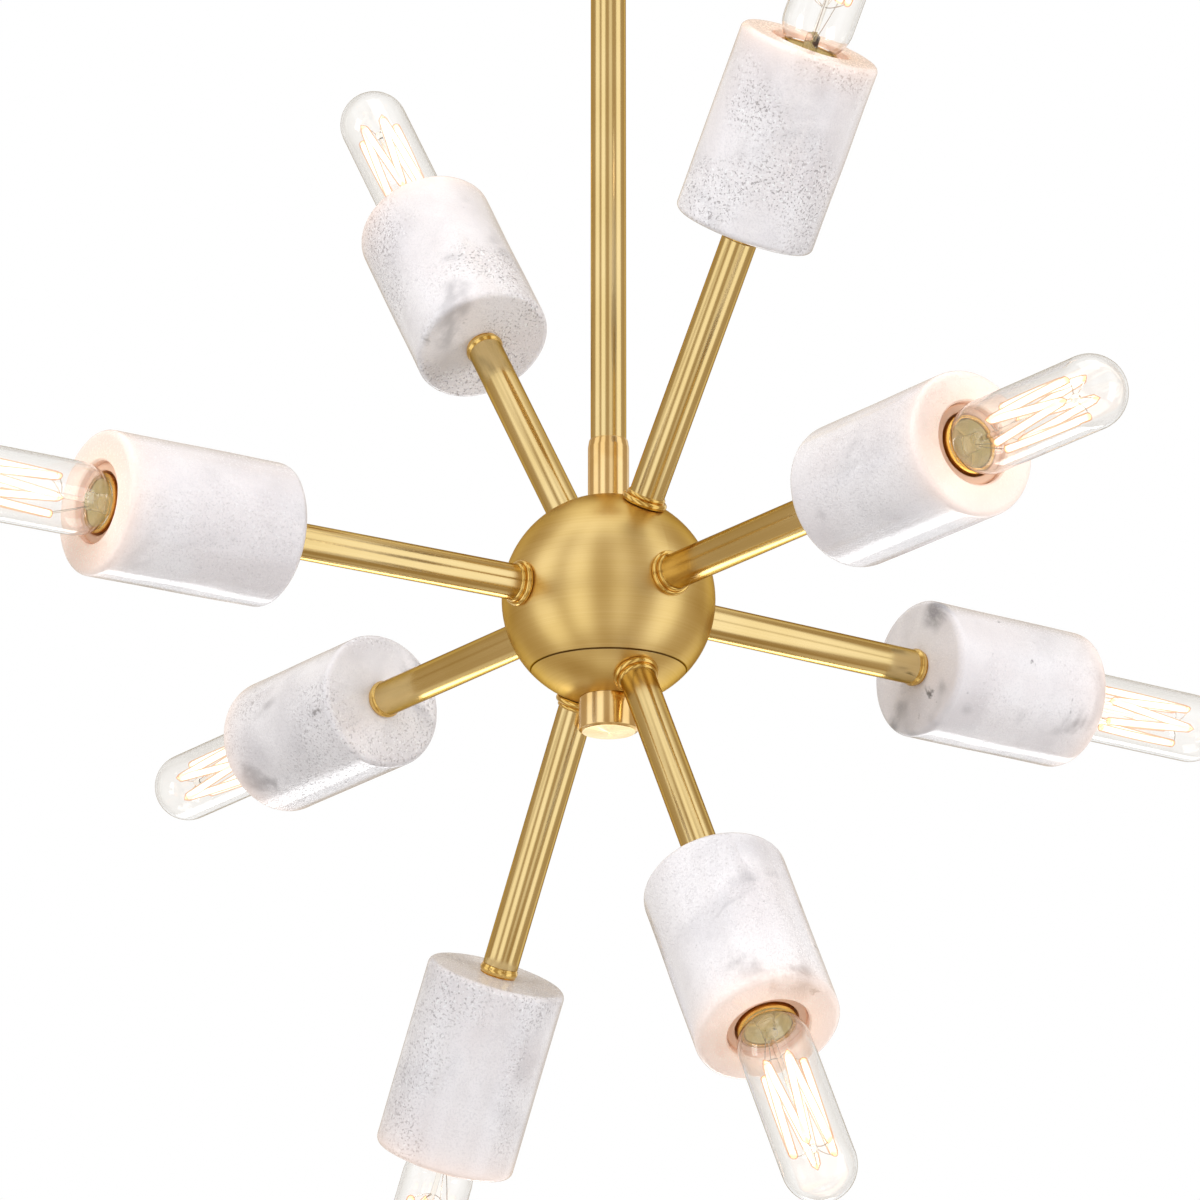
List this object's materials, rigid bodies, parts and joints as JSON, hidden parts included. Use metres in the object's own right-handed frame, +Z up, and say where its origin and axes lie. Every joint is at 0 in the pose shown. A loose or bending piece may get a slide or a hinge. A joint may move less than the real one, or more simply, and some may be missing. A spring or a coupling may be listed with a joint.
{
  "type": "sputnik chandelier",
  "caption": "Pendant light with a brass ball on a stem, radiating arms that end in marble cups, and clear tubular lamps that screw in.",
  "frame": {"origin": "middle of the crossbar's upper face, in the ceiling plane, on the stem's axis", "axes": "+Z up out of the ceiling plane, +X along the crossbar and along arm 2"},
  "size_m": [0.7158, 0.7158, 0.7161],
  "materials": {
    "brass_satin": "satin, brushed",
    "brass_polished": "polished",
    "marble": "honed, fine grained",
    "ceramic": "matte",
    "brass_plain": "plain",
    "clear_glass": "clear",
    "filament": "glowing wire on a glass stem",
    "zinc_steel": "zinc plated",
    "nylon": "natural"
  },
  "bodies": {
    "ceiling": {"canopy": "brass_satin", "crossbar": "zinc_steel", "canopy_studs": "zinc_steel", "canopy_cap_nuts": "brass_polished", "swivel_collar": "brass_satin"},
    "swivel_liner": {"swivel_liner": "nylon"},
    "pendant": {"swivel_ball": "brass_satin", "stem": "brass_satin", "stem_coupling": "brass_polished", "upper_shell": "brass_satin", "lower_cap": "brass_satin", "finial": "brass_polished", "centre_rod": "zinc_steel", "ball_collars": "brass_polished", "cup_collars": "brass_polished", "lampholder_bodies": "ceramic", "lampholder_shells": "brass_plain", "lampholder_contacts": "brass_plain", "threaded_nipples": "zinc_steel", "lock_nuts": "zinc_steel", "arm_tube_1": "brass_satin", "arm_tube_2": "brass_satin", "arm_tube_3": "brass_satin", "arm_tube_4": "brass_satin", "arm_tube_5": "brass_satin", "arm_tube_6": "brass_satin", "arm_tube_7": "brass_satin", "arm_tube_8": "brass_satin", "marble_cup_1": "marble", "marble_cup_2": "marble", "marble_cup_3": "marble", "marble_cup_4": "marble", "marble_cup_5": "marble", "marble_cup_6": "marble", "marble_cup_7": "marble", "marble_cup_8": "marble"},
    "lamp_base_1": {"bulb_base_1": "brass_plain"},
    "lamp_1": {"bulb_glass_1": "clear_glass", "filament_1": "filament"},
    "lamp_base_2": {"bulb_base_2": "brass_plain"},
    "lamp_2": {"bulb_glass_2": "clear_glass", "filament_2": "filament"},
    "lamp_base_3": {"bulb_base_3": "brass_plain"},
    "lamp_3": {"bulb_glass_3": "clear_glass", "filament_3": "filament"},
    "lamp_base_4": {"bulb_base_4": "brass_plain"},
    "lamp_4": {"bulb_glass_4": "clear_glass", "filament_4": "filament"},
    "lamp_base_5": {"bulb_base_5": "brass_plain"},
    "lamp_5": {"bulb_glass_5": "clear_glass", "filament_5": "filament"},
    "lamp_base_6": {"bulb_base_6": "brass_plain"},
    "lamp_6": {"bulb_glass_6": "clear_glass", "filament_6": "filament"},
    "lamp_base_7": {"bulb_base_7": "brass_plain"},
    "lamp_7": {"bulb_glass_7": "clear_glass", "filament_7": "filament"},
    "lamp_base_8": {"bulb_base_8": "brass_plain"},
    "lamp_8": {"bulb_glass_8": "clear_glass", "filament_8": "filament"}
  },
  "joints": [
    {"name": "swivel_tilt_x", "type": "hinge", "parent": "ceiling", "child": "swivel_liner", "pos_m": [0, 0, -0.024], "axis": [1, 0, 0], "range_deg": [-20, 20]},
    {"name": "swivel_tilt_y", "type": "hinge", "parent": "swivel_liner", "child": "pendant", "pos_m": [0, 0, -0.024], "axis": [0, 1, 0], "range_deg": [-20, 20]},
    {"name": "lamp_1_rise", "type": "slide", "parent": "pendant", "child": "lamp_base_1", "axis": [0.5878, -0.0051, 0.809], "range_m": [0, 0.01814]},
    {"name": "lamp_1_turn", "type": "hinge", "parent": "lamp_base_1", "child": "lamp_1", "pos_m": [0.15576, -0.00136, -0.19104], "axis": [0.5878, -0.0051, 0.809], "range_deg": [0, 1800]},
    {"name": "lamp_2_rise", "type": "slide", "parent": "pendant", "child": "lamp_base_2", "axis": [1, 0, 0.0087], "range_m": [0, 0.01814]},
    {"name": "lamp_2_turn", "type": "hinge", "parent": "lamp_base_2", "child": "lamp_2", "pos_m": [0.26499, 0, -0.40311], "axis": [1, 0, 0.0087], "range_deg": [0, 1800]},
    {"name": "lamp_3_rise", "type": "slide", "parent": "pendant", "child": "lamp_base_3", "axis": [-0.0349, 0.9994, 0], "range_m": [0, 0.01814]},
    {"name": "lamp_3_turn", "type": "hinge", "parent": "lamp_base_3", "child": "lamp_3", "pos_m": [-0.00925, 0.26484, -0.40542], "axis": [-0.0349, 0.9994, 0], "range_deg": [0, 1800]},
    {"name": "lamp_4_rise", "type": "slide", "parent": "pendant", "child": "lamp_base_4", "axis": [0.5196, -0.0546, -0.8526], "range_m": [0, 0.01814]},
    {"name": "lamp_4_turn", "type": "hinge", "parent": "lamp_base_4", "child": "lamp_4", "pos_m": [0.1377, -0.01447, -0.63138], "axis": [0.5196, -0.0546, -0.8526], "range_deg": [0, 1800]},
    {"name": "lamp_5_rise", "type": "slide", "parent": "pendant", "child": "lamp_base_5", "axis": [-0.5074, 0.0133, -0.8616], "range_m": [0, 0.01814]},
    {"name": "lamp_5_turn", "type": "hinge", "parent": "lamp_base_5", "child": "lamp_5", "pos_m": [-0.13445, 0.00352, -0.63376], "axis": [-0.5074, 0.0133, -0.8616], "range_deg": [0, 1800]},
    {"name": "lamp_6_rise", "type": "slide", "parent": "pendant", "child": "lamp_base_6", "axis": [-0.9995, -0.0174, -0.0262], "range_m": [0, 0.01814]},
    {"name": "lamp_6_turn", "type": "hinge", "parent": "lamp_base_6", "child": "lamp_6", "pos_m": [-0.26487, -0.00462, -0.41236], "axis": [-0.9995, -0.0174, -0.0262], "range_deg": [0, 1800]},
    {"name": "lamp_7_rise", "type": "slide", "parent": "pendant", "child": "lamp_base_7", "axis": [-0.0087, -0.9999, -0.0087], "range_m": [0, 0.01814]},
    {"name": "lamp_7_turn", "type": "hinge", "parent": "lamp_base_7", "child": "lamp_7", "pos_m": [-0.00231, -0.26498, -0.40774], "axis": [-0.0087, -0.9999, -0.0087], "range_deg": [0, 1800]},
    {"name": "lamp_8_rise", "type": "slide", "parent": "pendant", "child": "lamp_base_8", "axis": [-0.5592, -0.0049, 0.829], "range_m": [0, 0.01814]},
    {"name": "lamp_8_turn", "type": "hinge", "parent": "lamp_base_8", "child": "lamp_8", "pos_m": [-0.14818, -0.00129, -0.18573], "axis": [-0.5592, -0.0049, 0.829], "range_deg": [0, 1800]}
  ],
  "couplings": [
    {"joint": "lamp_1_turn", "follows": "lamp_1_rise", "rad_per_m": 1731.4},
    {"joint": "lamp_2_turn", "follows": "lamp_2_rise", "rad_per_m": 1731.4},
    {"joint": "lamp_3_turn", "follows": "lamp_3_rise", "rad_per_m": 1731.4},
    {"joint": "lamp_4_turn", "follows": "lamp_4_rise", "rad_per_m": 1731.4},
    {"joint": "lamp_5_turn", "follows": "lamp_5_rise", "rad_per_m": 1731.4},
    {"joint": "lamp_6_turn", "follows": "lamp_6_rise", "rad_per_m": 1731.4},
    {"joint": "lamp_7_turn", "follows": "lamp_7_rise", "rad_per_m": 1731.4},
    {"joint": "lamp_8_turn", "follows": "lamp_8_rise", "rad_per_m": 1731.4}
  ]
}
